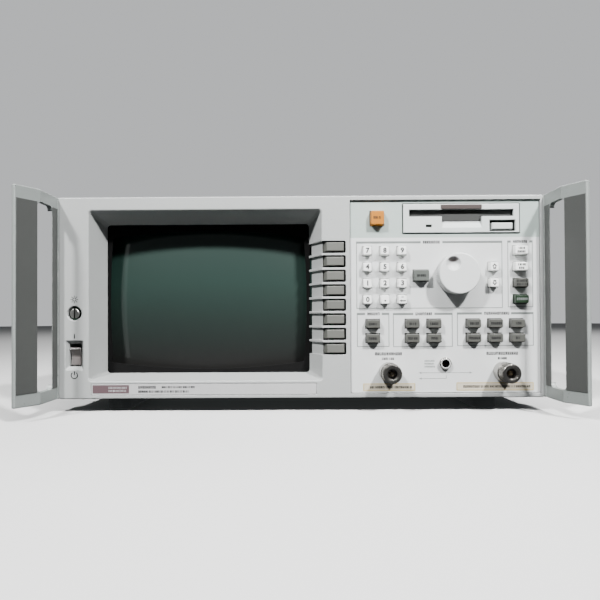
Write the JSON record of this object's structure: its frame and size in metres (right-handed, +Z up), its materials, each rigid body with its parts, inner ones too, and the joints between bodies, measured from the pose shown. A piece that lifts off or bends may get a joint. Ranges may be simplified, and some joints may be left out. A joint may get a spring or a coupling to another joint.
{
  "type": "vector network analyzer",
  "caption": "Bench network analyzer: full-width cabinet with flared front handles, display, softkeys, keypad, knob, disk drive and coaxial ports.",
  "frame": {"origin": "centre of the footprint, on the plane the feet rest on", "axes": "+Z up, front panel faces -Y, +X to the operator's right"},
  "size_m": [0.455, 0.5656, 0.189],
  "materials": {
    "frame_paint": "fine satin enamel over a die casting",
    "panel_paint": "satin off-white enamel with a grey-green upper band",
    "handle_paint": "satin enamel, worn at the edges",
    "cover_paint": "fine textured enamel",
    "rear_alodine": "conversion coated sheet",
    "chassis_aluminium": "mill finish",
    "can_aluminium": "brushed",
    "board_laminate": "green solder mask",
    "tube_glass": "dark grey-green faceplate",
    "nickel": "polished nickel plate",
    "adjuster_metal": "turned and slotted",
    "screw_steel": "zinc plated",
    "foot_plastic": "matt, slightly grained",
    "fan_plastic": "moulded",
    "drive_plastic": "fine spark texture",
    "flap_plastic": "fine spark texture",
    "knob_plastic": "satin moulding",
    "rocker_plastic": "moulded, slightly glossy",
    "softkey_plastic": "satin moulding",
    "key_white": "satin moulding",
    "key_grey": "satin moulding",
    "key_dark_grey": "satin moulding",
    "key_orange": "satin moulding",
    "key_green": "satin moulding"
  },
  "bodies": {
    "root": {"cabinet_covers": "cover_paint", "chassis": "chassis_aluminium", "circuit_boards": "board_laminate", "connectors": "nickel", "control_panel": "panel_paint", "disk_drive": "drive_plastic", "display_tube": "tube_glass", "fan_housing": "fan_plastic", "feet": "foot_plastic", "front_frame": "frame_paint", "front_handles": "handle_paint", "rear_panel": "rear_alodine", "screws": "screw_steel", "shield_cans": "can_aluminium"},
    "key_0": {"key_0": "key_white"},
    "key_1": {"key_1": "key_white"},
    "key_2": {"key_2": "key_white"},
    "key_3": {"key_3": "key_white"},
    "key_4": {"key_4": "key_white"},
    "key_5": {"key_5": "key_white"},
    "key_6": {"key_6": "key_white"},
    "key_7": {"key_7": "key_white"},
    "key_8": {"key_8": "key_white"},
    "key_9": {"key_9": "key_white"},
    "key_average": {"key_average": "key_grey"},
    "key_backspace": {"key_backspace": "key_white"},
    "key_begin": {"key_begin": "key_orange"},
    "key_calibrate": {"key_calibrate": "key_grey"},
    "key_channel_1": {"key_channel_1": "key_grey"},
    "key_channel_2": {"key_channel_2": "key_grey"},
    "key_copy": {"key_copy": "key_white"},
    "key_display": {"key_display": "key_grey"},
    "key_down": {"key_down": "key_white"},
    "key_enter": {"key_enter": "key_dark_grey"},
    "key_format": {"key_format": "key_grey"},
    "key_frequency": {"key_frequency": "key_grey"},
    "key_marker": {"key_marker": "key_grey"},
    "key_menu": {"key_menu": "key_grey"},
    "key_options": {"key_options": "key_grey"},
    "key_point": {"key_point": "key_white"},
    "key_power": {"key_power": "key_grey"},
    "key_preset": {"key_preset": "key_green"},
    "key_save": {"key_save": "key_white"},
    "key_scale": {"key_scale": "key_grey"},
    "key_sweep": {"key_sweep": "key_grey"},
    "key_up": {"key_up": "key_white"},
    "softkey_1": {"softkey_1": "softkey_plastic"},
    "softkey_2": {"softkey_2": "softkey_plastic"},
    "softkey_3": {"softkey_3": "softkey_plastic"},
    "softkey_4": {"softkey_4": "softkey_plastic"},
    "softkey_5": {"softkey_5": "softkey_plastic"},
    "softkey_6": {"softkey_6": "softkey_plastic"},
    "softkey_7": {"softkey_7": "softkey_plastic"},
    "softkey_8": {"softkey_8": "softkey_plastic"},
    "tuning_knob": {"tuning_knob": "knob_plastic"},
    "brightness_adjuster": {"brightness_adjuster": "adjuster_metal"},
    "line_switch_rocker": {"line_switch_rocker": "rocker_plastic"},
    "disk_door": {"disk_door": "flap_plastic"},
    "disk_eject_button": {"disk_eject_button": "drive_plastic"},
    "fan_rotor": {"fan_rotor": "fan_plastic"}
  },
  "joints": [
    {"name": "key_0_press", "type": "slide", "parent": "root", "child": "key_0", "axis": [0, 1, 0], "range_m": [0, 0.002], "stiffness_N_per_m": 400},
    {"name": "key_1_press", "type": "slide", "parent": "root", "child": "key_1", "axis": [0, 1, 0], "range_m": [0, 0.002], "stiffness_N_per_m": 400},
    {"name": "key_2_press", "type": "slide", "parent": "root", "child": "key_2", "axis": [0, 1, 0], "range_m": [0, 0.002], "stiffness_N_per_m": 400},
    {"name": "key_3_press", "type": "slide", "parent": "root", "child": "key_3", "axis": [0, 1, 0], "range_m": [0, 0.002], "stiffness_N_per_m": 400},
    {"name": "key_4_press", "type": "slide", "parent": "root", "child": "key_4", "axis": [0, 1, 0], "range_m": [0, 0.002], "stiffness_N_per_m": 400},
    {"name": "key_5_press", "type": "slide", "parent": "root", "child": "key_5", "axis": [0, 1, 0], "range_m": [0, 0.002], "stiffness_N_per_m": 400},
    {"name": "key_6_press", "type": "slide", "parent": "root", "child": "key_6", "axis": [0, 1, 0], "range_m": [0, 0.002], "stiffness_N_per_m": 400},
    {"name": "key_7_press", "type": "slide", "parent": "root", "child": "key_7", "axis": [0, 1, 0], "range_m": [0, 0.002], "stiffness_N_per_m": 400},
    {"name": "key_8_press", "type": "slide", "parent": "root", "child": "key_8", "axis": [0, 1, 0], "range_m": [0, 0.002], "stiffness_N_per_m": 400},
    {"name": "key_9_press", "type": "slide", "parent": "root", "child": "key_9", "axis": [0, 1, 0], "range_m": [0, 0.002], "stiffness_N_per_m": 400},
    {"name": "key_average_press", "type": "slide", "parent": "root", "child": "key_average", "axis": [0, 1, 0], "range_m": [0, 0.002], "stiffness_N_per_m": 400},
    {"name": "key_backspace_press", "type": "slide", "parent": "root", "child": "key_backspace", "axis": [0, 1, 0], "range_m": [0, 0.002], "stiffness_N_per_m": 400},
    {"name": "key_begin_press", "type": "slide", "parent": "root", "child": "key_begin", "axis": [0, 1, 0], "range_m": [0, 0.002], "stiffness_N_per_m": 400},
    {"name": "key_calibrate_press", "type": "slide", "parent": "root", "child": "key_calibrate", "axis": [0, 1, 0], "range_m": [0, 0.002], "stiffness_N_per_m": 400},
    {"name": "key_channel_1_press", "type": "slide", "parent": "root", "child": "key_channel_1", "axis": [0, 1, 0], "range_m": [0, 0.002], "stiffness_N_per_m": 400},
    {"name": "key_channel_2_press", "type": "slide", "parent": "root", "child": "key_channel_2", "axis": [0, 1, 0], "range_m": [0, 0.002], "stiffness_N_per_m": 400},
    {"name": "key_copy_press", "type": "slide", "parent": "root", "child": "key_copy", "axis": [0, 1, 0], "range_m": [0, 0.002], "stiffness_N_per_m": 400},
    {"name": "key_display_press", "type": "slide", "parent": "root", "child": "key_display", "axis": [0, 1, 0], "range_m": [0, 0.002], "stiffness_N_per_m": 400},
    {"name": "key_down_press", "type": "slide", "parent": "root", "child": "key_down", "axis": [0, 1, 0], "range_m": [0, 0.002], "stiffness_N_per_m": 400},
    {"name": "key_enter_press", "type": "slide", "parent": "root", "child": "key_enter", "axis": [0, 1, 0], "range_m": [0, 0.002], "stiffness_N_per_m": 400},
    {"name": "key_format_press", "type": "slide", "parent": "root", "child": "key_format", "axis": [0, 1, 0], "range_m": [0, 0.002], "stiffness_N_per_m": 400},
    {"name": "key_frequency_press", "type": "slide", "parent": "root", "child": "key_frequency", "axis": [0, 1, 0], "range_m": [0, 0.002], "stiffness_N_per_m": 400},
    {"name": "key_marker_press", "type": "slide", "parent": "root", "child": "key_marker", "axis": [0, 1, 0], "range_m": [0, 0.002], "stiffness_N_per_m": 400},
    {"name": "key_menu_press", "type": "slide", "parent": "root", "child": "key_menu", "axis": [0, 1, 0], "range_m": [0, 0.002], "stiffness_N_per_m": 400},
    {"name": "key_options_press", "type": "slide", "parent": "root", "child": "key_options", "axis": [0, 1, 0], "range_m": [0, 0.002], "stiffness_N_per_m": 400},
    {"name": "key_point_press", "type": "slide", "parent": "root", "child": "key_point", "axis": [0, 1, 0], "range_m": [0, 0.002], "stiffness_N_per_m": 400},
    {"name": "key_power_press", "type": "slide", "parent": "root", "child": "key_power", "axis": [0, 1, 0], "range_m": [0, 0.002], "stiffness_N_per_m": 400},
    {"name": "key_preset_press", "type": "slide", "parent": "root", "child": "key_preset", "axis": [0, 1, 0], "range_m": [0, 0.002], "stiffness_N_per_m": 400},
    {"name": "key_save_press", "type": "slide", "parent": "root", "child": "key_save", "axis": [0, 1, 0], "range_m": [0, 0.002], "stiffness_N_per_m": 400},
    {"name": "key_scale_press", "type": "slide", "parent": "root", "child": "key_scale", "axis": [0, 1, 0], "range_m": [0, 0.002], "stiffness_N_per_m": 400},
    {"name": "key_sweep_press", "type": "slide", "parent": "root", "child": "key_sweep", "axis": [0, 1, 0], "range_m": [0, 0.002], "stiffness_N_per_m": 400},
    {"name": "key_up_press", "type": "slide", "parent": "root", "child": "key_up", "axis": [0, 1, 0], "range_m": [0, 0.002], "stiffness_N_per_m": 400},
    {"name": "softkey_1_press", "type": "slide", "parent": "root", "child": "softkey_1", "axis": [0, 1, 0], "range_m": [0, 0.002], "stiffness_N_per_m": 400},
    {"name": "softkey_2_press", "type": "slide", "parent": "root", "child": "softkey_2", "axis": [0, 1, 0], "range_m": [0, 0.002], "stiffness_N_per_m": 400},
    {"name": "softkey_3_press", "type": "slide", "parent": "root", "child": "softkey_3", "axis": [0, 1, 0], "range_m": [0, 0.002], "stiffness_N_per_m": 400},
    {"name": "softkey_4_press", "type": "slide", "parent": "root", "child": "softkey_4", "axis": [0, 1, 0], "range_m": [0, 0.002], "stiffness_N_per_m": 400},
    {"name": "softkey_5_press", "type": "slide", "parent": "root", "child": "softkey_5", "axis": [0, 1, 0], "range_m": [0, 0.002], "stiffness_N_per_m": 400},
    {"name": "softkey_6_press", "type": "slide", "parent": "root", "child": "softkey_6", "axis": [0, 1, 0], "range_m": [0, 0.002], "stiffness_N_per_m": 400},
    {"name": "softkey_7_press", "type": "slide", "parent": "root", "child": "softkey_7", "axis": [0, 1, 0], "range_m": [0, 0.002], "stiffness_N_per_m": 400},
    {"name": "softkey_8_press", "type": "slide", "parent": "root", "child": "softkey_8", "axis": [0, 1, 0], "range_m": [0, 0.002], "stiffness_N_per_m": 400},
    {"name": "tuning_knob_turn", "type": "hinge", "parent": "root", "child": "tuning_knob", "pos_m": [0.136, -0.237, 0.1195], "axis": [0, 1, 0], "continuous": true},
    {"name": "brightness_turn", "type": "hinge", "parent": "root", "child": "brightness_adjuster", "pos_m": [-0.1985, -0.229, 0.087], "axis": [0, 1, 0], "range_deg": [-135, 135]},
    {"name": "line_switch_rock", "type": "hinge", "parent": "root", "child": "line_switch_rocker", "pos_m": [-0.1985, -0.219, 0.0503], "axis": [1, 0, 0], "range_deg": [-20, 0]},
    {"name": "disk_door_swing", "type": "hinge", "parent": "root", "child": "disk_door", "pos_m": [0.1409, -0.2264, 0.1772], "axis": [1, 0, 0], "range_deg": [0, 75], "stiffness_Nm_per_rad": 0.0005},
    {"name": "disk_eject_press", "type": "slide", "parent": "root", "child": "disk_eject_button", "axis": [0, 1, 0], "range_m": [0, 0.005], "stiffness_N_per_m": 300},
    {"name": "fan_spin", "type": "hinge", "parent": "root", "child": "fan_rotor", "pos_m": [-0.105, 0.243, 0.107], "axis": [0, 1, 0], "continuous": true}
  ]
}
